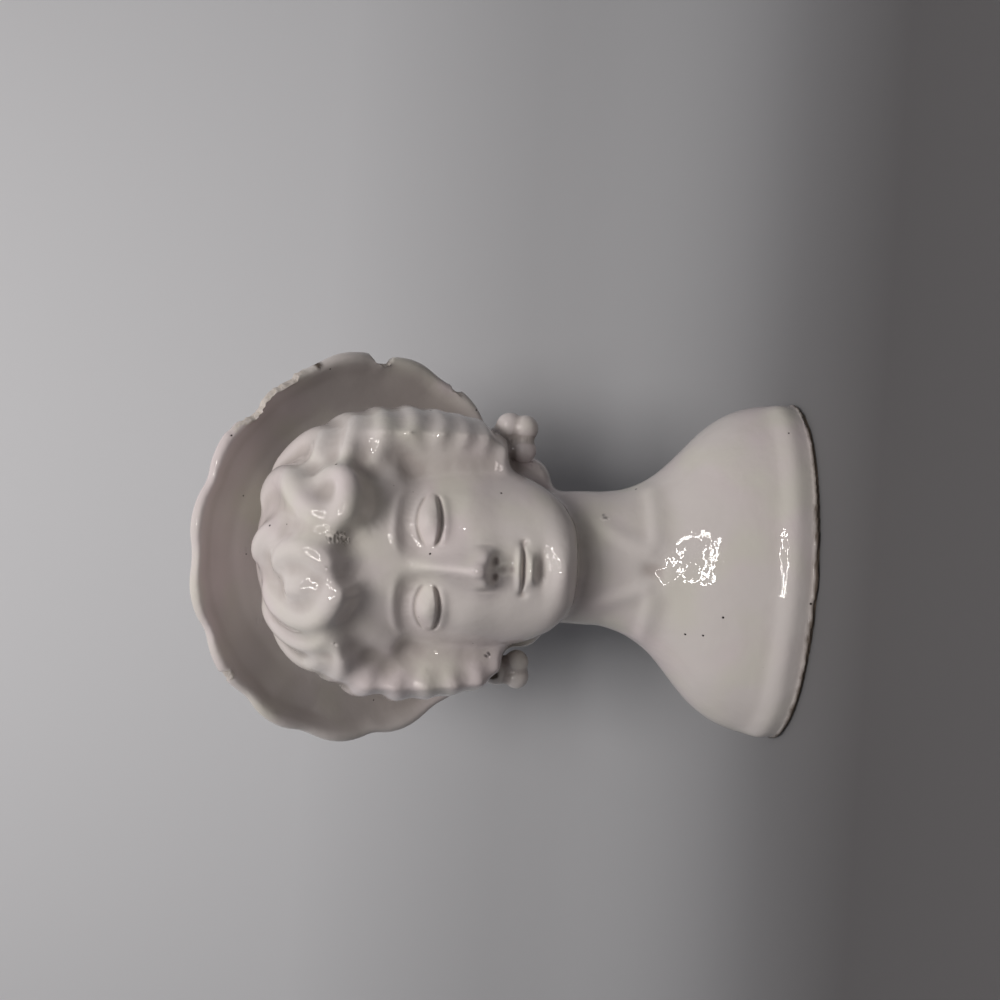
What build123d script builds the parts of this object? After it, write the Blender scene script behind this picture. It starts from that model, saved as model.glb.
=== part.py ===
from build123d import *
import math
import os

# Bust and foot, in millimetres
base_width = 90.0
base_depth = 49.0
bust_height = 50.0
neck_width = 36.6
neck_depth = 33.6
cast_wall = 4.2
foot_reveal = 0.8
foot_inset = 0.7
foot_thickness = 5.0

# Head and hair
face_third = 21.5
chin_above_joint = 7.0
hair_thickness = 8.0
lock_lift = 1.2
nape_radius = 8.0
nape_height = 20.5
nape_inset = 2.5
bead_radius = 3.0
earring_drop = 2.5
earring_out = 1.5

# Hat
root_margin = 4.2
brim_reach = 18.0
brim_cove = 6.0
brim_thickness = 4.0
brim_scallop = 1.5
crown_depth = 30.0
crown_wall = 4.0
crown_seat = 2.5
mouth_drop = 12.0

# Angles in degrees, and the count of scallops round the brim
head_lean = 2
head_turn = 3
hat_tilt = 53
scallops = 16

# The head stands on the neck joint, leaning and turned a little
lean = Vector(0, 0, 1).rotate(Axis.Y, -head_lean)
head_plane = Plane(
    origin=(0, 0, bust_height),
    x_dir=Vector(1, 0, 0).rotate(Axis.Z, -head_turn).rotate(Axis.Y, -head_lean),
    z_dir=lean,
)


def head_point(across, back, level):
    return head_plane.from_local_coords(Vector(across, back, level))


def head_level(thirds):
    return chin_above_joint + thirds * face_third


def smooth_step(value):
    held = max(0, min(1, value))
    return held * held * (3 - 2 * held)


def closed_edge(points, places):
    return Edge.make_spline(points, periodic=True, parameters=places)


# Bust: height as a share of the bust height, width and depth as shares of the base
bust_shares = [
    (0.10, 0.998, 0.995),
    (0.24, 0.972, 0.975),
    (0.37, 0.912, 0.925),
    (0.51, 0.785, 0.85),
    (0.63, 0.632, 0.775),
    (0.75, 0.508, 0.72),
    (0.88, 0.434, 0.695),
]


def bust_form(inset):
    with BuildPart() as form:
        with BuildSketch(Plane.XY.offset(foot_reveal)):
            Ellipse(base_width / 2 - inset, base_depth / 2 - inset)
        for height, wide, deep in bust_shares:
            with BuildSketch(Plane.XY.offset(height * bust_height)):
                Ellipse(base_width * wide / 2 - inset, base_depth * deep / 2 - inset)
        with BuildSketch(head_plane):
            Ellipse(neck_width / 2 - inset, neck_depth / 2 - inset)
        loft()
    return form.part


bust_hollow = bust_form(cast_wall)

with BuildPart() as bust_shell:
    add(bust_form(0))
    add(bust_hollow, mode=Mode.SUBTRACT)

with BuildPart() as foot_plate:
    add(bust_hollow)
    split(bisect_by=Plane.XY.offset(foot_thickness), keep=Keep.BOTTOM)
    with BuildSketch(Plane.XY):
        Ellipse(base_width / 2 - foot_inset, base_depth / 2 - foot_inset)
    extrude(amount=foot_reveal)


# Head, by height above the chin: half width, reach ahead and reach behind, all in face thirds
head_shares = [
    (0.00, 0.16, 0.94, -0.74),
    (0.04, 0.36, 1.08, -0.58),
    (0.12, 0.57, 1.185, -0.32),
    (0.30, 0.80, 1.245, 0.04),
    (0.60, 0.99, 1.235, 0.47),
    (0.95, 1.12, 1.225, 0.92),
    (1.40, 1.21, 1.22, 1.22),
    (2.00, 1.25, 1.255, 1.36),
    (2.50, 1.235, 1.295, 1.37),
    (2.90, 1.13, 1.20, 1.26),
    (3.20, 0.93, 0.98, 1.05),
    (3.40, 0.68, 0.70, 0.78),
    (3.52, 0.34, 0.34, 0.42),
]
skull_width_share = 1.25
skull_top_share = 3.52
hollow_shares = (0.30, 3.26)
neck_climb_share = 1.0
neck_taper = 2

# Bumps and hollows of the face in thirds: across, height, half width, half height, relief
middle_feature_shares = [
    (0.0, 0.22, 0.36, 0.17, 0.06),
    (0.0, 0.44, 0.34, 0.10, -0.05),
    (0.0, 0.565, 0.23, 0.09, 0.075),
    (0.0, 0.78, 0.26, 0.09, 0.075),
    (0.0, 1.12, 0.15, 0.14, 0.06),
]
paired_feature_shares = [
    (0.50, 1.84, 0.34, 0.22, -0.20),
    (0.24, 1.78, 0.14, 0.17, -0.05),
    (0.52, 1.75, 0.25, 0.17, 0.235),
    (0.50, 2.08, 0.42, 0.11, 0.035),
    (0.66, 1.25, 0.38, 0.32, 0.055),
    (0.175, 1.08, 0.09, 0.09, 0.07),
]
nose_height_shares = (1.00, 1.92)
nose_relief_shares = (0.32, 0.07)
nose_width_shares = (0.20, 0.13)
nose_edge_share = 0.05

# Points round each level of the head, finer over the face
face_turn = 72
ring_turns = [turn for turn in range(-180, -face_turn, 12)]
ring_turns += [turn for turn in range(-face_turn, face_turn, 4)]
ring_turns += [turn for turn in range(face_turn, 180, 12)]
ring_places = [(turn + 180) / 360 for turn in ring_turns] + [1]


def table_slope(table, row, column):
    low = table[max(row - 1, 0)]
    high = table[min(row + 1, len(table) - 1)]
    return (high[column] - low[column]) / (high[0] - low[0])


def table_value(table, height, column):
    """Value of one column of a table at a height, on a smooth curve through the rows"""
    row = sum(entry[0] < height for entry in table[1:-1])
    low, high = table[row], table[row + 1]
    span = high[0] - low[0]
    along = (height - low[0]) / span
    rest = 1 - along
    value = low[column] * rest**2 * (1 + 2 * along) + high[column] * along**2 * (1 + 2 * rest)
    bend = table_slope(table, row, column) * rest - table_slope(table, row + 1, column) * along
    return value + span * along * rest * bend


def bump(across, height, size):
    side = (across - size[0]) / size[2]
    rise = (height - size[1]) / size[3]
    return size[4] * math.exp(-side * side - rise * rise)


def face_relief(across, height):
    relief = sum(bump(across, height, size) for size in middle_feature_shares)
    relief += sum(bump(abs(across), height, size) for size in paired_feature_shares)
    low, high = nose_height_shares
    along = smooth_step((height - low) / (high - low))
    tall = nose_relief_shares[0] + (nose_relief_shares[1] - nose_relief_shares[0]) * along
    wide = nose_width_shares[0] + (nose_width_shares[1] - nose_width_shares[0]) * along
    under = 1 / (1 + math.exp((low - height) / nose_edge_share))
    above = 1 / (1 + math.exp((height - high) / (2 * nose_edge_share)))
    return relief + tall * under * above * math.exp(-((across / wide) ** 2))


def head_ring(height, inset, featured):
    half = table_value(head_shares, height, 1) * face_third - inset
    front = table_value(head_shares, height, 2) * face_third - inset
    back = table_value(head_shares, height, 3) * face_third - inset
    middle = (front - back) / 2
    deep = (front + back) / 2
    points = []
    for turn in ring_turns:
        across = half * math.sin(math.radians(turn))
        ahead = math.cos(math.radians(turn))
        forward = middle + deep * ahead
        if featured and ahead > 0:
            forward += face_relief(across / face_third, height) * face_third * smooth_step(2 * ahead)
        points.append(head_point(across, -forward, head_level(height)))
    return Wire([closed_edge(points, ring_places)])


def head_form(low, high, steps, inset, featured):
    """Head and neck, drawn in by an inset, with the rings closer at the chin and the crown"""
    rings = []
    for step in range(steps + 1):
        along = step / steps
        eased = (1 - math.cos(math.pi * along)) / 2
        rings.append(head_ring(low + (high - low) * (along + eased) / 2, inset, featured))
    with BuildPart() as form:
        add(Solid.make_loft(rings))
        with BuildSketch(head_plane):
            Ellipse(neck_width / 2 - inset, neck_depth / 2 - inset)
        extrude(amount=neck_climb, taper=neck_taper)
    return form.part


neck_climb = head_level(neck_climb_share)
head_solid = head_form(0, skull_top_share, 36, 0, True)
head_hollow = head_form(hollow_shares[0], hollow_shares[1], 20, cast_wall, False)

# Hair dome over the skull, and the plane of the hat behind it
dome_level_share = 2.19
dome_fall_share = 2.56
dome_set_back_share = 0.09
lock_share = 0.115
dome_radius = skull_width_share * face_third + hair_thickness
dome_level = head_level(dome_level_share)
dome_rise = head_level(skull_top_share) - dome_level + hair_thickness
dome_fall = dome_fall_share * face_third
dome_set_back = dome_set_back_share * face_third
dome_center = head_point(0, dome_set_back, dome_level)
dome_section = Plane(origin=dome_center, x_dir=head_plane.x_dir, z_dir=-head_plane.y_dir)

hat_level_share = 2.56
hat_set_back_share = 0.66
hat_aside_share = 0.06
root_radius = dome_radius + root_margin
hat_back = head_plane.y_dir * math.sin(math.radians(hat_tilt)) + lean * math.cos(math.radians(hat_tilt))
hat_aside = -hat_aside_share * face_third
hat_set_back = hat_set_back_share * face_third
hat_plane = Plane(
    origin=head_point(hat_aside, hat_set_back, head_level(hat_level_share)),
    x_dir=head_plane.x_dir,
    z_dir=hat_back,
)
root_plane = hat_plane.offset(brim_cove)
crown_plane = root_plane.offset(brim_thickness)

# Profile of the brim: reach from root to edge, and how far it comes forward, as shares. The brim is
# wider at the sides than over the forehead and at the nape.
brim_narrow_share = 0.23
brim_front_shares = [(0.0, 0.0), (0.20, 0.06), (0.45, 0.30), (0.70, 0.66), (0.90, 1.0)]
brim_back_shares = [(0.90, 0.92), (0.70, 0.62), (0.45, 0.27), (0.20, 0.04), (0.0, 0.0)]
brim_steps = 26
brim_turns = range(0, 360, 4)
brim_places = [turn / 360 for turn in brim_turns] + [1]

with BuildLine() as brim_profile:
    Spline(
        [(reach * brim_reach, brim_cove * (1 - fore)) for reach, fore in brim_front_shares]
        + [(brim_reach, brim_thickness / 2)]
        + [(reach * brim_reach, brim_cove * (1 - fore) + brim_thickness) for reach, fore in brim_back_shares],
        tangents=((1, 0), (-1, 0)),
    )


def brim_ring(place):
    reach = place.X / brim_reach
    points = []
    for turn in brim_turns:
        lobe = abs(math.sin(math.radians(turn * scallops / 2)))
        swing = math.radians(turn)
        wide = place.X * (1 - brim_narrow_share * math.sin(swing) ** 2)
        radius = root_radius + wide + brim_scallop * reach**3 * (lobe - 1)
        edge = Vector(radius * math.cos(swing), radius * math.sin(swing), place.Y)
        points.append(hat_plane.from_local_coords(edge))
    return Wire([closed_edge(points, brim_places)])


brim_rings = [brim_ring(brim_profile.line @ (step / brim_steps)) for step in range(brim_steps + 1)]

hole_width_share = 0.50
hole_height_share = 0.30
hole_drop_share = 0.04

with BuildPart() as hat_brim:
    add(Solid.make_loft(brim_rings))
    with BuildSketch(root_plane):
        with Locations((0, hole_drop_share * root_radius)):
            Ellipse(hole_width_share * root_radius, hole_height_share * root_radius)
    extrude(amount=brim_thickness, both=True, mode=Mode.SUBTRACT)

crown_radius = root_radius - crown_seat
crown_section = Plane(origin=crown_plane.origin, x_dir=crown_plane.x_dir, z_dir=-crown_plane.y_dir)
crown_peak = (crown_plane.origin - head_plane.origin).dot(lean) + math.hypot(
    crown_radius * math.sin(math.radians(hat_tilt)), crown_depth * math.cos(math.radians(hat_tilt))
)


def crown_form(radius, depth):
    with BuildPart() as form:
        with BuildSketch(crown_section):
            Ellipse(radius, depth)
            with Locations((radius / 2, depth / 2)):
                Rectangle(radius, depth, mode=Mode.INTERSECT)
        revolve(axis=Axis(crown_plane.origin, crown_plane.z_dir))
    return form.part


with BuildPart() as hat_crown:
    add(crown_form(crown_radius, crown_depth))
    add(crown_form(crown_radius - crown_wall, crown_depth - crown_wall), mode=Mode.SUBTRACT)
    split(bisect_by=head_plane.offset(crown_peak - mouth_drop), keep=Keep.BOTTOM)

with BuildPart() as head_shell:
    add(head_solid)
    add(head_hollow, mode=Mode.SUBTRACT)
    split(bisect_by=root_plane, keep=Keep.BOTTOM)

# The hair cap is cut by the skull, the hat and a window for the face
window_width_share = 1.14
window_top_share = 2.82
window_ahead_share = 0.28
window_middle_share = 1.3
hem_share = 0.93
window_height = (window_top_share - window_middle_share) * face_third
window_plane = Plane(
    origin=head_point(0, -window_ahead_share * face_third, head_level(window_middle_share)),
    x_dir=head_plane.x_dir,
    z_dir=-head_plane.y_dir,
)

# The dome is a flat ellipse above its widest level and a long one below
dome_profile = []
for turn in range(0, 181, 30):
    swing = math.radians(turn)
    reach = dome_rise if turn < 90 else dome_fall
    dome_profile.append((dome_radius * math.sin(swing), reach * math.cos(swing)))

with BuildPart() as dome_form:
    with BuildSketch(dome_section):
        with BuildLine():
            Spline(dome_profile, tangents=((1, 0), (-1, 0)))
            Line((0, -dome_fall), (0, dome_rise))
        make_face()
    revolve(axis=Axis(dome_center, lean))

with BuildPart() as hair_base:
    add(dome_form.part)
    split(bisect_by=head_plane.offset(head_level(hem_share)), keep=Keep.TOP)
    split(bisect_by=root_plane, keep=Keep.BOTTOM)
    with BuildSketch(window_plane):
        Ellipse(window_width_share * face_third, window_height)
    extrude(amount=2 * dome_radius, mode=Mode.SUBTRACT)
    add(head_solid, mode=Mode.SUBTRACT)

# Rolls and locks are round tubes that thin out to both ends
girth_shares = (0.40, 0.78, 0.95, 1.0, 1.0, 0.98, 0.90, 0.76, 0.50)


def tube_form(points, center, girth):
    with BuildPart() as form:
        with BuildLine() as run:
            Spline(points)
        for station, share in enumerate(girth_shares):
            along = station / (len(girth_shares) - 1)
            place = run.line @ along
            with BuildSketch(Plane(origin=place, x_dir=place - center, z_dir=run.line % along)):
                Circle(girth * share)
        loft()
    return form.part


# Nape roll: a roll round the back of the neck from ear to ear
nape_turns = range(-88, 89, 22)
nape_ring = neck_width / 2 + nape_inset
nape_points = []
for turn in nape_turns:
    swing = math.radians(turn)
    nape_points.append(head_point(nape_ring * math.sin(swing), nape_ring * math.cos(swing), nape_height))

with BuildPart() as nape_roll:
    add(tube_form(nape_points, head_point(0, 0, nape_height), nape_radius))
    add(head_solid, mode=Mode.SUBTRACT)
    add(hair_base.part, mode=Mode.SUBTRACT)

# Locks of hair: thickness as a share of the lock radius, then the turn from the front and the rise
# above the widest level of the dome along each lock, in degrees
lock_radius = lock_share * dome_radius
lock_girth_shares = {
    "lock_top_middle": 0.70,
    "lock_front_hook": 0.85,
    "lock_front_inner": 0.80,
    "lock_front_left": 0.82,
    "lock_left_second": 0.60,
    "lock_left_third": 0.78,
    "lock_left_hook": 0.62,
    "lock_left_temple": 0.88,
    "lock_right_front": 0.85,
    "lock_right_hook": 0.70,
    "lock_right_second": 0.90,
    "lock_right_third": 0.85,
    "lock_right_temple": 0.80,
}
lock_angles = {
    "lock_top_middle": [(-4, 58), (6, 55), (13, 50), (17, 44)],
    "lock_front_hook": [(-6, 41), (1, 40), (5, 35), (6, 29), (4, 23), (-1, 19)],
    "lock_front_inner": [(-11, 37), (-10, 30), (-8, 24)],
    "lock_front_left": [(-20, 54), (-25, 45), (-26, 35), (-24, 26), (-18, 19), (-8, 16)],
    "lock_left_second": [(-48, 60), (-45, 48), (-43, 37), (-38, 27), (-29, 20)],
    "lock_left_third": [(-64, 55), (-66, 45), (-61, 36), (-53, 28), (-42, 23)],
    "lock_left_hook": [(-74, 35), (-65, 25), (-54, 18), (-43, 14), (-33, 15)],
    "lock_left_temple": [(-90, 24), (-80, 18), (-68, 12), (-55, 7), (-44, 5)],
    "lock_right_front": [(46, 62), (51, 54), (47, 45), (37, 37), (26, 30), (20, 22)],
    "lock_right_hook": [(17, 18), (21, 14), (30, 13), (37, 17), (37, 23), (32, 24)],
    "lock_right_second": [(70, 60), (74, 50), (76, 40), (69, 31), (59, 27), (50, 28)],
    "lock_right_third": [(88, 33), (80, 24), (70, 17), (58, 14), (47, 15)],
    "lock_right_temple": [(94, 18), (83, 11), (70, 6), (56, 3), (45, 3), (37, 5)],
}

# The side locks lie one below the other: side, rise and thickness as a share of the lock radius
side_lock_shares = {
    "lock_left_side_1": (-1, -1.6, 0.85),
    "lock_left_side_2": (-1, -9, 0.78),
    "lock_left_side_3": (-1, -15.8, 0.72),
    "lock_left_side_4": (-1, -22.5, 0.66),
    "lock_right_side_1": (1, -4, 0.78),
    "lock_right_side_2": (1, -11, 0.70),
    "lock_right_side_3": (1, -17, 0.62),
    "lock_right_side_4": (1, -22.5, 0.56),
}
side_lock_angles = [(97, 6), (84, 3), (70, 0), (58, -1), (49, 1)]
for name, (side, level, girth) in side_lock_shares.items():
    lock_girth_shares[name] = girth
    lock_angles[name] = [(side * turn, level + rise) for turn, rise in side_lock_angles]


def dome_point(turn, rise):
    swing = math.radians(turn)
    climb = math.radians(rise)
    out = (dome_radius + lock_lift) * math.cos(climb)
    tall = (dome_rise if rise > 0 else dome_fall) + lock_lift
    return head_point(
        out * math.sin(swing), dome_set_back - out * math.cos(swing), dome_level + tall * math.sin(climb)
    )


locks = {}
for name, turns in lock_angles.items():
    lock_points = [dome_point(turn, rise) for turn, rise in turns]
    with BuildPart() as locks[name]:
        add(tube_form(lock_points, dome_center, lock_girth_shares[name] * lock_radius))
        add(dome_form.part, mode=Mode.SUBTRACT)

# Earrings: each bead's place across, ahead and up, and its size, in bead radii
left_bead_shares = [(0.0, 0.0, 0.75, 1.2), (-0.5, 0.15, -1.1, 0.95), (0.8, 0.15, -1.05, 0.95)]
right_bead_shares = [
    (0.0, 0.0, 1.4, 0.8),
    (1.0, 0.0, 0.3, 1.1),
    (-1.0, 0.1, 0.55, 0.8),
    (-1.1, 0.2, -1.0, 1.0),
    (0.85, 0.2, -1.05, 1.05),
]
hem_radius = dome_radius * math.sqrt(1 - ((dome_level - head_level(hem_share)) / dome_fall) ** 2)
earring_level = head_level(hem_share) - earring_drop


def earring_form(side, beads):
    with BuildPart() as form:
        for across, ahead, up, size in beads:
            place = head_point(
                side * (hem_radius + earring_out) + across * bead_radius,
                -ahead * bead_radius,
                earring_level + up * bead_radius,
            )
            with Locations(place):
                Sphere(size * bead_radius)
        add(hair_base.part, mode=Mode.SUBTRACT)
        add(nape_roll.part, mode=Mode.SUBTRACT)
    return form


pieces = {
    "foot_plate": foot_plate,
    "bust_shell": bust_shell,
    "head_shell": head_shell,
    "hair_base": hair_base,
    "nape_roll": nape_roll,
    "hat_brim": hat_brim,
    "hat_crown": hat_crown,
    "earring_left": earring_form(-1, left_bead_shares),
    "earring_right": earring_form(1, right_bead_shares),
}
pieces.update(locks)

os.makedirs("parts", exist_ok=True)
for name, piece in pieces.items():
    piece.part.label = name
    export_step(piece.part, f"parts/{name}.step")
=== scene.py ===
import bpy
import math
import numpy as np
from mathutils import Matrix, Vector, noise


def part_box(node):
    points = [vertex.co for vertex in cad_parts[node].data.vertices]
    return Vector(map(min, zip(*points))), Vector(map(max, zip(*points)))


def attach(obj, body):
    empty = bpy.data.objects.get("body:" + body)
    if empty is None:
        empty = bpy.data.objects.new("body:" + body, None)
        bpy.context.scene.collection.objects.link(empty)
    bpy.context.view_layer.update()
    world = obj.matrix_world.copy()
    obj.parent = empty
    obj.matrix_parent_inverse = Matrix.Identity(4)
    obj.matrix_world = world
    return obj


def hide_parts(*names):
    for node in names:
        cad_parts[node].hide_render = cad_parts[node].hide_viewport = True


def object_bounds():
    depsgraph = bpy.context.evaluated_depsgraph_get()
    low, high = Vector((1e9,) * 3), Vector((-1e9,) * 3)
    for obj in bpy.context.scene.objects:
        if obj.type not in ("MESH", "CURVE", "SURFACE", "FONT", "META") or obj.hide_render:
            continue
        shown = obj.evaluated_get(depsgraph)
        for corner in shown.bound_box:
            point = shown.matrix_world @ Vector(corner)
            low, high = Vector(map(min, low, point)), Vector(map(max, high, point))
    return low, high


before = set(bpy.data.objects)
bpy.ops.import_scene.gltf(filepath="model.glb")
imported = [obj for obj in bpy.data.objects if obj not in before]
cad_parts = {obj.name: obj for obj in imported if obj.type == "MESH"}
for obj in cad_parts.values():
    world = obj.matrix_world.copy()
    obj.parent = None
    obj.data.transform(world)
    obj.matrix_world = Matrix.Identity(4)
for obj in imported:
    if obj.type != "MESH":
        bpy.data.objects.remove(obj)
cad_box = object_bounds()

# The casting: bust, neck, head and hair.
# One slip-cast body. The mould's halves are pressed together, the seams are sponged away and the locks of
# hair are modelled on, so under the glaze every form runs softly into the next.
millimetre = 0.001
casting_grain = 0.67 * millimetre
valley_reach = 1.2 * millimetre
pore_reach = 0.48 * millimetre
front_swell = 0.3 * millimetre
cap_swell = 1.8 * millimetre
side_swell = 0.9 * millimetre
nape_swell = 1.6 * millimetre


def deselect():
    bpy.ops.object.select_all(action="DESELECT")


def take(piece):
    deselect()
    piece.select_set(True)
    bpy.context.view_layer.objects.active = piece


def join(name, pieces):
    take(pieces[0])
    for piece in pieces:
        piece.select_set(True)
    if len(pieces) > 1:
        bpy.ops.object.join()
    pieces[0].name = name
    return pieces[0]


def cad_copy(name, swell, *nodes):
    """Copies of CAD nodes as one mesh, with the corners merged, grown outwards by the swell"""
    copies = []
    for node in nodes:
        copy = bpy.data.objects.new(name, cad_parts[node].data.copy())
        bpy.context.scene.collection.objects.link(copy)
        copies.append(copy)
    piece = join(name, copies)
    piece.data.materials.clear()
    bpy.ops.object.mode_set(mode="EDIT")
    bpy.ops.mesh.select_all(action="SELECT")
    bpy.ops.mesh.remove_doubles(threshold=0.002 * millimetre)
    bpy.ops.transform.shrink_fatten(value=swell)
    bpy.ops.object.mode_set(mode="OBJECT")
    return piece


def sponge(piece, rounds, strength=0.5, group=""):
    take(piece)
    rub = piece.modifiers.new("sponge", "SMOOTH")
    rub.factor = strength
    rub.iterations = rounds
    rub.vertex_group = group
    bpy.ops.object.modifier_apply(modifier="sponge")


def recast(piece, grain, rounds):
    """Rebuilds a piece as one even skin and rubs it smooth, as a wet sponge does"""
    take(piece)
    piece.data.remesh_voxel_size = grain
    bpy.ops.object.voxel_remesh()
    if rounds:
        sponge(piece, rounds)
    return piece


def places_of(piece):
    places = np.empty(len(piece.data.vertices) * 3)
    piece.data.vertices.foreach_get("co", places)
    return places.reshape(-1, 3)


def normals_of(piece):
    normals = np.empty(len(piece.data.vertices) * 3)
    piece.data.vertices.foreach_get("normal", normals)
    return normals.reshape(-1, 3)


def set_places(piece, places):
    piece.data.vertices.foreach_set("co", places.ravel())
    piece.data.update()


def set_share(piece, name, values):
    layer = piece.data.attributes.get(name) or piece.data.attributes.new(name, "FLOAT", "POINT")
    layer.data.foreach_set("value", np.clip(values, 0, 1).astype(np.float32))


def step(values, low, high):
    share = np.clip((values - low) / (high - low), 0, 1)
    return share * share * (3 - 2 * share)


def hump(values, middle, width, power=2):
    return np.exp(-np.abs((values - middle) / width) ** power)


def wander(places, scale, seed):
    """Slow unevenness from -1 to 1, the same each time"""
    return np.array([noise.noise(Vector(place) * scale + Vector((seed, 0, 0))) for place in places])


def paint_hollow_shade(piece, rounds, depth):
    """Share of painted shade in the hollows: how far each point lies below its surroundings"""
    places = places_of(piece)
    edges = np.empty(len(piece.data.edges) * 2, int)
    piece.data.edges.foreach_get("vertices", edges)
    first, second = edges.reshape(-1, 2).T
    count = np.bincount(np.concatenate([first, second]), minlength=len(places))[:, None]
    blurred = places.copy()
    for _ in range(rounds):
        total = np.zeros_like(blurred)
        for axis in range(3):
            total[:, axis] += np.bincount(first, blurred[second, axis], len(places))
            total[:, axis] += np.bincount(second, blurred[first, axis], len(places))
        blurred = total / np.maximum(count, 1)
    hollow = ((blurred - places) * normals_of(piece)).sum(1)
    set_share(piece, "hollow_shade", hollow / depth)


# The head stands on the neck, leaning and turned a little; face heights are in thirds above the chin
head_origin = Vector((0, 0, 0.050))
head_turned = Matrix.Rotation(math.radians(-2), 3, "Y") @ Matrix.Rotation(math.radians(-3), 3, "Z")
head_axes = np.array(head_turned)
face_third = 21.5 * millimetre
chin_above_joint = 7 * millimetre


def head_shares(places):
    """Across, back and above the chin, in face thirds"""
    local = (places - np.array(head_origin)) @ head_axes
    return local[:, 0] / face_third, local[:, 1] / face_third, (local[:, 2] - chin_above_joint) / face_third


# At the temples the hair is pressed back against the skull, so that the whole width of the face is free
window_middle = 1.3
window_wide = 1.14
window_tall = 1.52
skull_share = 1.25
dome_share = 1.66
temple_share = 1.05
sunk_share = 0.55
sunk_edge = (1.04, 1.10)
pressed_below = (2.15, 2.75)
pressed_over_skin = 0.12


def window_shares(places):
    """1 on the edge of the face's window in the hair cap, and more outside it"""
    across, back, above = head_shares(places)
    window = np.hypot(across / window_wide, (above - window_middle) / window_tall)
    return np.where(above < window_middle, np.abs(across) / window_wide, window)


def press_temples(piece):
    """Shifts the side hair back until it lies on the skull, and sinks its edge into the skull"""
    places = places_of(piece)
    across, back, above = head_shares(places)
    reach = np.abs(across)
    skin = -skull_share * np.sqrt(1 - (np.minimum(reach, temple_share) / skull_share) ** 2)
    dome = 0.09 - np.sqrt(np.clip(dome_share**2 - reach**2, 0, None))
    sunk = sunk_share * (1 - step(reach, *sunk_edge))
    pressed = np.maximum(skin - dome, 0) + sunk
    pressed = np.minimum(back + pressed, np.maximum(back, skin + pressed_over_skin + sunk)) - back
    pressed *= (1 - step(above, *pressed_below)) * (back < 0.3) * step(window_shares(places), 0.5, 0.8)
    set_places(piece, places + (pressed * face_third)[:, None] * head_axes[:, 1])


def grow(piece, reach):
    set_places(piece, places_of(piece) + normals_of(piece) * reach)


def draw_in(piece, reach, steps):
    """Draws the skin inwards a little at a time and rubs it each time, so that no ridge folds over"""
    for _ in range(steps):
        grow(piece, -reach / steps)
        sponge(piece, 2)


def without_bubbles(piece):
    """Keeps the largest shell of a rebuilt skin, and drops the closed bubbles inside it"""
    name = piece.name
    take(piece)
    bpy.ops.object.mode_set(mode="EDIT")
    bpy.ops.mesh.select_all(action="SELECT")
    bpy.ops.mesh.separate(type="LOOSE")
    bpy.ops.object.mode_set(mode="OBJECT")
    shells = sorted(bpy.context.selected_objects, key=lambda shell: len(shell.data.vertices))
    for bubble in shells[:-1]:
        bpy.data.objects.remove(bubble)
    shells[-1].name = name
    return shells[-1]


cap_grain = 0.8 * millimetre
lock_grain = 0.5 * millimetre
skull_grain = 0.7 * millimetre
hair = recast(cad_copy("hair", cap_swell, "hair_base"), cap_grain, 5)
press_temples(hair)
lock_nodes = sorted(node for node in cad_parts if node.startswith("lock_"))
front_nodes = [node for node in lock_nodes if node.startswith("lock_front") or node == "lock_right_hook"]
side_nodes = [node for node in lock_nodes if node not in front_nodes]
front_locks = recast(cad_copy("front_locks", front_swell, *front_nodes), lock_grain, 2)
side_locks = recast(cad_copy("side_locks", side_swell, *side_nodes), lock_grain, 2)
press_temples(side_locks)

# Slip fills the hollows under the hair: each piece gets copies of itself that lie further and further in
slip_middle = np.array(head_origin) + head_axes @ np.array((0, 0.003, 0.040))
slip_shares = (0.97, 0.94, 0.91, 0.88)


def slip_under(piece):
    layers = [piece]
    for share in slip_shares:
        layer = piece.copy()
        layer.data = piece.data.copy()
        bpy.context.scene.collection.objects.link(layer)
        set_places(layer, slip_middle + (places_of(piece) - slip_middle) * share)
        layers.append(layer)
    return join(piece.name, layers)


for piece in (hair, front_locks, side_locks):
    slip_under(piece)

nape = cad_copy("nape", nape_swell, "nape_roll")

# A low roll along the hairline carries the ends of the front locks
roll_girth = 3.8 * millimetre
roll_share = 1.0
roll_turns = range(-56, 57, 8)
roll_grain = 0.6 * millimetre
roll_set_in = 0.05
roll = bpy.data.curves.new("hairline_roll", "CURVE")
roll.dimensions = "3D"
roll.bevel_depth = roll_girth
roll.bevel_resolution = 5
roll.use_fill_caps = True
run = roll.splines.new("NURBS")
run.points.add(len(roll_turns) - 1)
for point, turn in zip(run.points, roll_turns):
    side = window_wide * roll_share * math.sin(math.radians(turn))
    rise = window_middle + window_tall * roll_share * math.cos(math.radians(turn))
    ahead = -(skull_share - roll_set_in) * math.sqrt(1 - (side / skull_share) ** 2)
    local = Vector((side, ahead, rise)) * face_third + Vector((0, 0, chin_above_joint))
    point.co = (*(head_origin + head_turned @ local), 1)
run.order_u = 3
run.use_endpoint_u = True
roll_curve = bpy.data.objects.new("hairline_roll", roll)
bpy.context.scene.collection.objects.link(roll_curve)
bpy.context.view_layer.update()
roll_mesh = bpy.data.meshes.new_from_object(roll_curve)
hairline_roll = bpy.data.objects.new("roll", roll_mesh)
bpy.context.scene.collection.objects.link(hairline_roll)
bpy.data.objects.remove(roll_curve)
recast(hairline_roll, roll_grain, 2)
slip_under(hairline_roll)

# All is grown, made one skin and drawn back in, which fills the narrow valleys between the locks
skull = recast(cad_copy("skull", 0, "head_shell"), skull_grain, 1)
bust = cad_copy("bust", 0, "bust_shell")
casting = join("casting", [bust, skull, nape, hair, hairline_roll, front_locks, side_locks])
grow(casting, valley_reach)
for _ in range(2):
    recast(casting, casting_grain, 4)
    grow(casting, pore_reach)
casting = without_bubbles(recast(casting, casting_grain, 2))
draw_in(casting, valley_reach + 2 * pore_reach, 6)
casting = without_bubbles(recast(casting, casting_grain, 1))

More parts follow.
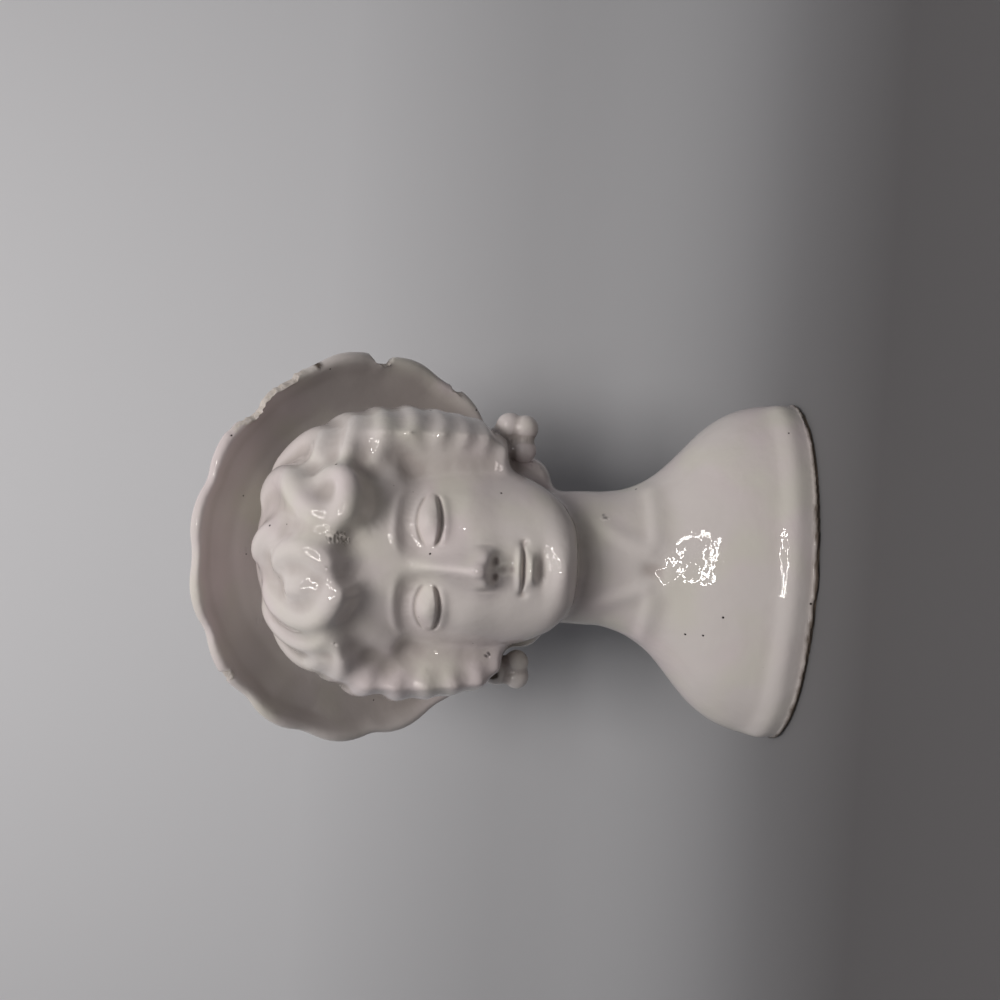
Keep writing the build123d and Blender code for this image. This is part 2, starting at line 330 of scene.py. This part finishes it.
# Hair is rubbed softer than the face, and the hairline most
window = window_shares(places_of(casting))
across, back, above = head_shares(places_of(casting))
hairy = np.maximum(step(window, 0.86, 1.0), step(back, -0.1, 0.2)) * step(above, -0.4, 0.2)
hairline = hump(window, 1.02, 0.12, 4) * (back < -0.2) * step(above, 0.6, 1.0)
for name, share, rounds in (("hairy", hairy, 4), ("hairline", hairline, 34)):
    group = casting.vertex_groups.new(name=name)
    for index in np.flatnonzero(share > 0.01):
        group.add([int(index)], float(share[index]), "REPLACE")
    sponge(casting, rounds, 0.5, name)
casting = without_bubbles(recast(casting, casting_grain, 1))

# Finer points over the face, then its features
forward = -head_axes[:, 1]


def face_mask(piece):
    across, back, above = head_shares(places_of(piece))
    facing = normals_of(piece) @ forward
    inside = 1 - step(window_shares(places_of(piece)), 0.80, 0.95)
    return step(facing, 0.05, 0.3) * (back < 0.1) * inside * step(above, -0.1, 0.1)


take(casting)
mask = face_mask(casting)
casting.vertex_groups.clear()
bpy.ops.object.mode_set(mode="EDIT")
bpy.ops.mesh.select_all(action="DESELECT")
bpy.ops.object.mode_set(mode="OBJECT")
corners = np.empty(len(casting.data.polygons) * 4, int)
casting.data.polygons.foreach_get("vertices", corners)
chosen = mask[corners.reshape(-1, 4)].min(1) > 0.02
casting.data.polygons.foreach_set("select", chosen)
bpy.ops.object.mode_set(mode="EDIT")
bpy.ops.mesh.subdivide(number_cuts=1)
bpy.ops.object.mode_set(mode="OBJECT")


def eyelids(across, above):
    """Closed lids: a round lid with a crease above it and a lash edge below"""
    side = (np.abs(across) - 0.50) / 0.27
    ends = 1 - step(np.abs(side), 0.78, 1.12)
    lash = above - (1.665 - 0.060 * (1 - side**2) + 0.012 * side)
    crease = above - (1.865 - 0.085 * side**2)
    relief = 0.055 * hump(np.abs(across), 0.50, 0.22) * hump(above, 1.75, 0.13)
    relief += 0.036 * ends * step(lash, -0.012, 0.022) * hump(np.maximum(lash, 0), 0, 0.10)
    relief -= 0.046 * ends * hump(lash, -0.022, 0.020)
    relief += 0.010 * ends * hump(lash, -0.085, 0.035)
    relief -= 0.030 * ends * hump(crease, 0, 0.024)
    brow = above - (2.045 + 0.055 * (1 - ((np.abs(across) - 0.52) / 0.42) ** 2))
    return relief + 0.030 * hump(brow, 0, 0.06) * hump(np.abs(across), 0.52, 0.36, 4)


def nose(across, above):
    side = np.abs(across)
    relief = 0.045 * hump(across, 0, 0.08) * step(above, 1.05, 1.2) * (1 - step(above, 1.65, 1.95))
    relief += 0.022 * hump(across, 0, 0.115) * hump(above, 1.125, 0.10)
    relief += 0.045 * hump(side, 0.150, 0.070) * hump(above, 1.06, 0.080)
    relief -= 0.028 * hump(side, 0.245, 0.032) * hump(above, 1.075, 0.09)
    return relief - 0.085 * hump(side, 0.085, 0.045) * hump(above, 0.968, 0.034)


def mouth(across, above):
    side = np.abs(across)
    part = above - (0.655 + 0.018 * (side / 0.25) ** 2)
    relief = -0.022 * hump(across, 0, 0.036) * hump(above, 0.87, 0.06)
    relief += 0.015 * hump(side, 0.07, 0.028) * hump(above, 0.86, 0.06)
    relief += 0.055 * hump(above, 0.722 - 0.02 * (side / 0.25), 0.045) * hump(across, 0, 0.22, 4)
    relief -= 0.020 * hump(across, 0, 0.03) * hump(above, 0.775, 0.03)
    relief += 0.070 * hump(above, 0.578, 0.058) * hump(across, 0, 0.165, 4)
    relief -= 0.060 * hump(part, 0, 0.020) * hump(across, 0, 0.245, 6)
    relief -= 0.030 * hump(side, 0.285, 0.045) * hump(above, 0.665, 0.05)
    return relief - 0.030 * hump(above, 0.455, 0.045) * hump(across, 0, 0.19)


def chin_and_cheeks(across, above):
    relief = 0.030 * hump(across, 0, 0.20) * hump(above, 0.20, 0.12)
    return relief + 0.020 * hump(np.abs(across), 0.62, 0.25) * hump(above, 1.28, 0.22)


places = places_of(casting)
across, back, above = head_shares(places)
relief = eyelids(across, above) + nose(across, above)
relief += mouth(across, above) + chin_and_cheeks(across, above)
places += (relief * face_mask(casting) * face_third)[:, None] * forward
set_places(casting, places)

# Throat, collar bones and the unevenness of a hand-sponged casting
places = places_of(casting)
normals = normals_of(casting)
low = 1 - step(places[:, 2], 0.052, 0.060)
chest = step(-normals[:, 1], 0.2, 0.6) * low
reach = np.abs(places[:, 0] + 0.001)
bone_line = 0.0375 + 0.12 * reach - 3.2 * reach**2
bone = step(reach, 0.003, 0.008) * (1 - step(reach, 0.020, 0.032))
swell = 0.6 * hump(places[:, 2], bone_line, 0.0022) * bone
cord_line = 0.0035 + 0.42 * (places[:, 2] - 0.037)
cord = step(places[:, 2], 0.036, 0.040) * (1 - step(places[:, 2], 0.048, 0.056))
swell += 0.6 * hump(reach, cord_line, 0.0024) * cord
swell -= 0.9 * hump(places[:, 0], -0.001, 0.0030) * hump(places[:, 2], 0.0385, 0.0032)
ledge_line = 0.0062 + 0.0008 * wander(places * [1, 0, 0], 60, 6.6)
swell += 1.2 * hump(places[:, 2], ledge_line, 0.0032)
uneven = 0.16 * wander(places, 70, 3.1) * low + 0.07 * wander(places, 160, 7.7)
places += ((swell * chest + uneven) * millimetre)[:, None] * normals
# No curl stands further forward than the mould is deep
front_ease = 1.2 * millimetre
ahead = np.clip(cad_box[0][1] + front_ease - places[:, 1], 0, None)
places[:, 1] += ahead - front_ease * (1 - np.exp(-ahead / front_ease))
set_places(casting, places)
paint_hollow_shade(casting, 14, 0.30 * millimetre)
burnt_height = places[:, 2] + 0.0005 * wander(places, 300, 1.3)
set_share(casting, "burnt", 1 - step(burnt_height, 0.0010, 0.0018))

# The whole figure is dipped in one thick, glossy white glaze. It is painted darker in the hollows as shade,
# turns pink or cream here and there, and is dotted with pinholes where gas came out of the clay
glaze_white = (0.660, 0.608, 0.585, 1)
glaze_pink = (0.665, 0.590, 0.585, 1)
glaze_cream = (0.655, 0.615, 0.560, 1)
glaze_in_shade = (0.500, 0.445, 0.420, 1)
clay_bare = (0.60, 0.535, 0.47, 1)
clay_burnt = (0.105, 0.080, 0.062, 1)
speck_black = (0.018, 0.014, 0.012, 1)


def noise_of(tree, source, scale, detail=2.0, rough=0.5):
    cloud = tree.nodes.new("ShaderNodeTexNoise")
    cloud.inputs["Scale"].default_value = scale
    cloud.inputs["Detail"].default_value = detail
    cloud.inputs["Roughness"].default_value = rough
    tree.links.new(source, cloud.inputs["Vector"])
    return cloud.outputs["Fac"]


def ramp_of(tree, source, low, high, start=0.0, end=1.0):
    ramp = tree.nodes.new("ShaderNodeMapRange")
    for slot, value in (("From Min", low), ("From Max", high), ("To Min", start), ("To Max", end)):
        ramp.inputs[slot].default_value = value
    tree.links.new(source, ramp.inputs["Value"])
    return ramp.outputs["Result"]


def mix_of(tree, share, first, second):
    mix = tree.nodes.new("ShaderNodeMix")
    mix.data_type = "RGBA"
    tree.links.new(share, mix.inputs[0])
    for slot, value in ((6, first), (7, second)):
        if isinstance(value, tuple):
            mix.inputs[slot].default_value = value
        else:
            tree.links.new(value, mix.inputs[slot])
    return mix.outputs[2]


def math_of(tree, operation, first, second):
    node = tree.nodes.new("ShaderNodeMath")
    node.operation = operation
    for slot, value in ((0, first), (1, second)):
        if isinstance(value, (int, float)):
            node.inputs[slot].default_value = value
        else:
            tree.links.new(value, node.inputs[slot])
    return node.outputs[0]


def share_of(tree, name):
    share = tree.nodes.new("ShaderNodeAttribute")
    share.attribute_name = name
    return share.outputs["Fac"]


def bump_of(tree, height, strength, distance, under=None, dent=False):
    bump = tree.nodes.new("ShaderNodeBump")
    bump.inputs["Strength"].default_value = strength
    bump.inputs["Distance"].default_value = distance
    bump.invert = dent
    tree.links.new(height, bump.inputs["Height"])
    if under:
        tree.links.new(under, bump.inputs["Normal"])
    return bump.outputs["Normal"]


def glaze(name, pinholes):
    """Glossy white glaze; bare marks clay where it chipped off, burnt marks dark kiln dirt"""
    finish = bpy.data.materials.new(name)
    finish.use_nodes = True
    tree = finish.node_tree
    shader = tree.nodes["Principled BSDF"]
    place = tree.nodes.new("ShaderNodeTexCoord").outputs["Object"]

    pink = ramp_of(tree, noise_of(tree, place, 38, 1.0), 0.46, 0.64)
    cream = ramp_of(tree, noise_of(tree, place, 61, 1.0), 0.50, 0.68)
    colour = mix_of(tree, pink, glaze_white, glaze_pink)
    colour = mix_of(tree, cream, colour, glaze_cream)
    # Painted shade: the glaze colour is darkened in the hollows
    colour = mix_of(tree, share_of(tree, "hollow_shade"), colour, glaze_in_shade)

    cells = tree.nodes.new("ShaderNodeTexVoronoi")
    cells.inputs["Scale"].default_value = 190
    tree.links.new(place, cells.inputs["Vector"])
    spot = ramp_of(tree, cells.outputs["Distance"], 0.035, 0.065, 1.0, 0.0)
    chance = tree.nodes.new("ShaderNodeSeparateColor")
    tree.links.new(cells.outputs["Color"], chance.inputs["Color"])
    pits = math_of(tree, "MULTIPLY", spot, math_of(tree, "GREATER_THAN", chance.outputs[0], 1.0 - pinholes))
    colour = mix_of(tree, pits, colour, speck_black)

    bare, burnt = share_of(tree, "bare"), share_of(tree, "burnt")
    grit = noise_of(tree, place, 1400, 4.0, 0.65)
    clay = mix_of(tree, ramp_of(tree, grit, 0.35, 0.70), clay_bare, glaze_white)
    colour = mix_of(tree, bare, colour, clay)
    colour = mix_of(tree, burnt, colour, clay_burnt)
    tree.links.new(colour, shader.inputs["Base Color"])

    matt = math_of(tree, "MAXIMUM", bare, burnt)
    gloss = ramp_of(tree, noise_of(tree, place, 90, 3.0), 0.35, 0.75, 0.03, 0.07)
    gloss = math_of(tree, "MAXIMUM", gloss, math_of(tree, "MULTIPLY", matt, 0.75))
    tree.links.new(gloss, shader.inputs["Roughness"])
    shader.inputs["IOR"].default_value = 1.52

    ripple = bump_of(tree, noise_of(tree, place, 240, 2.0), 0.12, 0.0012)
    dents = bump_of(tree, pits, 0.8, 0.0003, ripple, dent=True)
    rough = bump_of(tree, math_of(tree, "MULTIPLY", grit, matt), 0.9, 0.0004, dents)
    tree.links.new(rough, shader.inputs["Normal"])
    return finish


glaze_finish = glaze("white_glaze", 0.35)

# The casting is parted at the neck joint, and the head along the mould's seam into a front and a back half
joint_normal = head_turned @ Vector((0, 0, 1))
seam_normal = head_turned @ Vector((0, 1, 0))
seam_place = head_origin + seam_normal * 6 * millimetre
seam_shading = 1.5 * millimetre
neck_cut = (head_origin, -joint_normal)
head_nodes = ["head_shell", "hair_base"]
casting_parts = {
    "bust_glazed": ([(head_origin, joint_normal)], ["bust_shell"]),
    "head_front_glazed": ([neck_cut, (seam_place, seam_normal)], head_nodes + lock_nodes),
    "head_back_glazed": ([neck_cut, (seam_place, -seam_normal)], head_nodes + ["nape_roll"]),
}
take(casting)
bpy.ops.object.shade_smooth()
for name, (cuts, nodes) in casting_parts.items():
    part = casting.copy()
    part.data = casting.data.copy()
    bpy.context.scene.collection.objects.link(part)
    part.name = name
    take(part)
    bpy.ops.object.mode_set(mode="EDIT")
    for place, normal in cuts:
        bpy.ops.mesh.select_all(action="SELECT")
        bpy.ops.mesh.bisect(plane_co=place, plane_no=normal, use_fill=True, clear_outer=True)
    bpy.ops.object.mode_set(mode="OBJECT")
    places = places_of(part)
    apart = np.min([np.abs((places - np.array(place)) @ np.array(normal)) for place, normal in cuts], 0)
    part.vertex_groups.clear()
    group = part.vertex_groups.new(name="seam")
    group.add([int(index) for index in np.flatnonzero(apart < seam_shading)], 1.0, "REPLACE")
    # The shading of the whole casting is kept along the cuts, so that no seam shows
    shading = part.modifiers.new("shading", "DATA_TRANSFER")
    shading.object = casting
    shading.use_loop_data = True
    shading.data_types_loops = {"CUSTOM_NORMAL"}
    shading.loop_mapping = "POLYINTERP_NEAREST"
    shading.vertex_group = "seam"
    bpy.ops.object.modifier_apply(modifier="shading")
    part.data.materials.append(glaze_finish)
    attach(part, "root")
    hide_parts(*nodes)
bpy.data.objects.remove(casting)


# Hat brim.
# A wide brim thrown back from the face, its edge pinched into scallops and rolled over; years of knocks
# have broken the rolled edge down to the clay on one side.
hat_grain = 0.58 * millimetre
hat_normal = head_turned @ Vector((0, math.sin(math.radians(53)), math.cos(math.radians(53))))
hat_right = head_turned @ Vector((1, 0, 0))
hat_up = hat_normal.cross(hat_right) * -1
brim_low, brim_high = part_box("hat_brim")
hat_middle = (brim_low + brim_high) / 2
# Each chip: turn from the top of the brim in degrees, half its length in degrees, and its depth
chips = [(51, 15, 1.5), (46, 4, 2.1), (58, 5, 2.0), (90, 3.5, 2.2), (118, 2.5, 1.2), (-36, 2, 0.7)]
chip_band = 4.5 * millimetre

brim = recast(cad_copy("hat_brim_glazed", 0, "hat_brim"), hat_grain, 9)
places = places_of(brim)
spread = places - np.array(hat_middle)
turn = np.degrees(np.arctan2(spread @ np.array(hat_right), spread @ np.array(hat_up)))
flat_spread = spread - np.outer(spread @ np.array(hat_normal), np.array(hat_normal))
radial = np.linalg.norm(flat_spread, axis=1)
rim = np.zeros(len(places))
for degree in range(-180, 180, 2):
    near = np.abs((turn - degree + 180) % 360 - 180) < 2.5
    rim[np.abs((turn - degree + 180) % 360 - 180) <= 1] = radial[near].max()
depth_in = rim - radial
inward = -flat_spread / np.maximum(radial, 1e-6)[:, None]
bare = np.zeros(len(places))
push = np.zeros(len(places))
ragged = wander(places, 420, 5.5)
for middle, half, deep in chips:
    along = np.abs(turn - middle) / half
    bite = 1 - step(along + 0.25 * ragged, 0.50, 1.10)
    bite *= 1 - step(depth_in, 0.2 * chip_band, chip_band * 0.75)
    push = np.maximum(push, bite * deep * (0.85 + 0.25 * ragged))
    bare = np.maximum(bare, step(bite, 0.25, 0.6))
inner = step(depth_in, 0.0055, 0.0085)
group = brim.vertex_groups.new(name="inner")
for index in np.flatnonzero(inner > 0):
    group.add([int(index)], float(inner[index]), "REPLACE")
# Shallow ribs run in from the scallops
rib_depth = 0.6 * millimetre
ribs = -0.5 * np.cos(np.radians(turn + 90) * 16 + 0.8 * wander(spread, 30, 4.4))
places += (push * millimetre)[:, None] * inward
places -= np.outer(ribs * (1 - step(depth_in, 0.003, 0.013)) * rib_depth, np.array(hat_normal))
uneven = 0.10 * wander(places, 120, 2.2) + 0.22 * bare * wander(places, 900, 8.8)
places += (uneven * millimetre)[:, None] * normals_of(brim)
set_places(brim, places)
sponge(brim, 30, 0.5, "inner")
set_share(brim, "bare", bare)
set_share(brim, "burnt", hump(turn, 69, 1.1, 4) * (1 - step(depth_in, 0.0012, 0.0024)))
paint_hollow_shade(brim, 14, 0.30 * millimetre)
# The cove at both sides of the brim is painted darker still, as shade
hollow_shade = np.empty(len(places), np.float32)
brim.data.attributes["hollow_shade"].data.foreach_get("value", hollow_shade)
cove_shade = step(np.abs(turn), 50, 110) * step(depth_in, 0.002, 0.007)
set_share(brim, "hollow_shade", np.maximum(hollow_shade, 0.9 * cove_shade))
brim.data.materials.append(glaze_finish)
take(brim)
bpy.ops.object.shade_smooth()
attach(brim, "root")
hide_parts("hat_brim")


# Hat crown.
# The hollow crown behind the brim is the pot itself: its top is cut away as the mouth, with a sponged rim.
crown = recast(cad_copy("hat_crown_glazed", 0, "hat_crown"), hat_grain, 6)
places = places_of(crown)
places += ((0.12 * wander(places, 80, 9.1) - 0.10) * millimetre)[:, None] * normals_of(crown)
set_places(crown, places)
paint_hollow_shade(crown, 14, 0.30 * millimetre)
crown.data.materials.append(glaze_finish)
take(crown)
bpy.ops.object.shade_smooth()
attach(crown, "root")
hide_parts("hat_crown")


# Earrings.
# Clusters of clay beads pressed on under the ears with slip, and flooded with glaze between the beads.
bead_grain = 0.3 * millimetre
bead_swell = 0.5 * millimetre
knock_low, knock_high = 0.38, 0.78
for side in ("left", "right"):
    node = f"earring_{side}"
    beads = cad_copy(f"{node}_glazed", bead_swell + valley_reach, node)
    recast(beads, bead_grain, 6)
    grow(beads, -valley_reach)
    paint_hollow_shade(beads, 14, 0.20 * millimetre)
    if side == "left":
        # A knock has broken the glaze off this one, and the clay has gone dark
        low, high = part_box(node)
        knock = (low.x + (high.x - low.x) * knock_low, low.y, low.z + (high.z - low.z) * knock_high)
        places = places_of(beads)
        away = np.linalg.norm((places - np.array(knock)) * [1, 0.35, 1], axis=1)
        away += 0.0004 * wander(places, 900, 2.9)
        set_share(beads, "burnt", 1 - step(away, 0.0011, 0.0019))
    beads.data.materials.append(glaze_finish)
    take(beads)
    bpy.ops.object.shade_smooth()
    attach(beads, "root")
    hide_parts(node)


# Foot.
# The underside is wiped clean of glaze before the firing, so that it doesn't stick to the kiln shelf; the
# bare clay has taken up dirt and shows as a thin dark line along the bottom edge.
bisque_dark = (0.16, 0.115, 0.085, 1)
bisque_light = (0.26, 0.20, 0.15, 1)


def bisque(name):
    finish = bpy.data.materials.new(name)
    finish.use_nodes = True
    tree = finish.node_tree
    shader = tree.nodes["Principled BSDF"]
    place = tree.nodes.new("ShaderNodeTexCoord").outputs["Object"]
    grit = noise_of(tree, place, 900, 5.0, 0.7)
    dirt = ramp_of(tree, noise_of(tree, place, 120, 3.0), 0.40, 0.62)
    colour = mix_of(tree, ramp_of(tree, grit, 0.3, 0.7), bisque_dark, bisque_light)
    colour = mix_of(tree, dirt, colour, clay_burnt)
    tree.links.new(colour, shader.inputs["Base Color"])
    shader.inputs["Roughness"].default_value = 0.85
    tree.links.new(bump_of(tree, grit, 0.6, 0.0004), shader.inputs["Normal"])
    return finish


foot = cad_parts["foot_plate"]
foot.data.materials.clear()
foot.data.materials.append(bisque("bare_foot"))


# Table and wall.
# The planter stands on a sheet of pale paper that curves up close behind it.
paper_lit = (0.62, 0.62, 0.64, 1)
paper_shaded = (0.115, 0.11, 0.112, 1)
sweep_back = 0.075
sweep_round = 0.06
sweep_reach = 1.6
bpy.ops.mesh.primitive_grid_add(x_subdivisions=4, y_subdivisions=120, size=2)
sweep = bpy.context.object
sweep.name = "paper_sweep"
places = places_of(sweep)
run = places[:, 1] * 1.2
quarter = sweep_round * math.pi / 2
flat = sweep_back - sweep_round
bend = np.clip((run - flat) / sweep_round, 0, math.pi / 2)
climb = sweep_round * (1 - np.cos(bend)) + np.maximum(run - flat - quarter, 0)
places[:, 0] *= sweep_reach
places[:, 1] = np.where(run < flat, run, flat + sweep_round * np.sin(bend))
places[:, 2] = np.where(run < flat, 0, climb)
set_places(sweep, places)
take(sweep)
bpy.ops.object.shade_smooth()
paper = bpy.data.materials.new("paper")
paper.use_nodes = True
tree = paper.node_tree
shader = tree.nodes["Principled BSDF"]
place = tree.nodes.new("ShaderNodeTexCoord").outputs["Object"]
rise = tree.nodes.new("ShaderNodeSeparateXYZ")
tree.links.new(place, rise.inputs[0])
height = math_of(tree, "ADD", rise.outputs["Z"], rise.outputs["Y"])
# Painted light and shade: the paper is dark on the floor in front and lighter up the wall
paper_shading = mix_of(tree, ramp_of(tree, height, -0.05, 0.22), paper_shaded, paper_lit)
tree.links.new(paper_shading, shader.inputs["Base Color"])
shader.inputs["Roughness"].default_value = 0.8
sweep.data.materials.append(paper)


# Lamps.
# A looped strip of small lights hangs over the camera. Soft light comes from the same place, and more of it
# from higher up.
def lamp_finish(name, colour, strength):
    glow = bpy.data.materials.new(name)
    glow.use_nodes = True
    tree = glow.node_tree
    tree.nodes.remove(tree.nodes["Principled BSDF"])
    light = tree.nodes.new("ShaderNodeEmission")
    light.inputs["Color"].default_value = colour
    light.inputs["Strength"].default_value = strength
    tree.links.new(light.outputs[0], tree.nodes["Material Output"].inputs["Surface"])
    return glow


aim = Vector((0, -0.01, 0.09))
loop_place = Vector((0.03, -0.58, 0.34))
loop_wide = 0.17
loop_tall = 0.13
loop_lights = 48
light_size = 0.009
lamp_colour = (1, 0.97, 0.94)
soft_lamps = ((loop_place, 0.20, 0.55), (Vector((0.02, -0.42, 0.52)), 0.24, 2.2))
room_dark = (0.04, 0.04, 0.042, 1)
room_pale = (0.29, 0.305, 0.33, 1)
facing = (aim - loop_place).to_track_quat("-Z", "Y").to_matrix()
bpy.ops.mesh.primitive_circle_add(vertices=4, radius=light_size, fill_type="NGON")
strip = bpy.context.object
strip.name = "loop_of_lights"
dot = [vertex.co.copy() for vertex in strip.data.vertices]
corners, faces = [], []
for light in range(loop_lights):
    swing = 2 * math.pi * light / loop_lights
    square = (abs(math.cos(swing)) ** 4 + abs(math.sin(swing)) ** 4) ** -0.25
    middle = Vector((loop_wide * square * math.cos(swing), loop_tall * square * math.sin(swing), 0))
    faces.append(tuple(range(len(corners), len(corners) + 4)))
    corners += [loop_place + facing @ (middle + place) for place in dot]
lights = bpy.data.meshes.new("loop_of_lights")
lights.from_pydata(corners, [], faces)
strip.data = lights
strip.data.materials.append(lamp_finish("strip_light", (1, 0.97, 0.93, 1), 60))
strip.visible_diffuse = False

for place, size, energy in soft_lamps:
    bpy.ops.object.light_add(type="AREA", location=place)
    lamp = bpy.context.object
    lamp.data.size = size
    lamp.data.energy = energy
    lamp.data.color = lamp_colour
    lamp.rotation_euler = (place - aim).to_track_quat("Z", "Y").to_euler()
    lamp.visible_glossy = False

# The room is pale above and dark below
world = bpy.data.worlds.new("room")
world.use_nodes = True
tree = world.node_tree
heading = tree.nodes.new("ShaderNodeSeparateXYZ")
tree.links.new(tree.nodes.new("ShaderNodeTexCoord").outputs["Generated"], heading.inputs[0])
shade = ramp_of(tree, heading.outputs["Z"], 0.0, 1.0)
room = tree.nodes["Background"]
tree.links.new(mix_of(tree, shade, room_dark, room_pale), room.inputs["Color"])
room.inputs["Strength"].default_value = 1.0
bpy.context.scene.world = world
bpy.context.scene.view_settings.view_transform = "Standard"


# Camera.
# A phone held on its side close in front of the planter.
camera_place = Vector((0.0139, -0.205, 0.0779))
camera_roll = math.radians(4)
focal_pixels = 751
bpy.ops.object.camera_add(location=camera_place)
camera = bpy.context.object
camera.data.sensor_width = 36
camera.data.lens = focal_pixels / 1000 * camera.data.sensor_width
level = Matrix.Rotation(math.radians(90), 3, "X")
camera.rotation_euler = (level @ Matrix.Rotation(camera_roll - math.radians(90), 3, "Z")).to_euler()
camera.data.clip_start = 0.01
bpy.context.scene.camera = camera
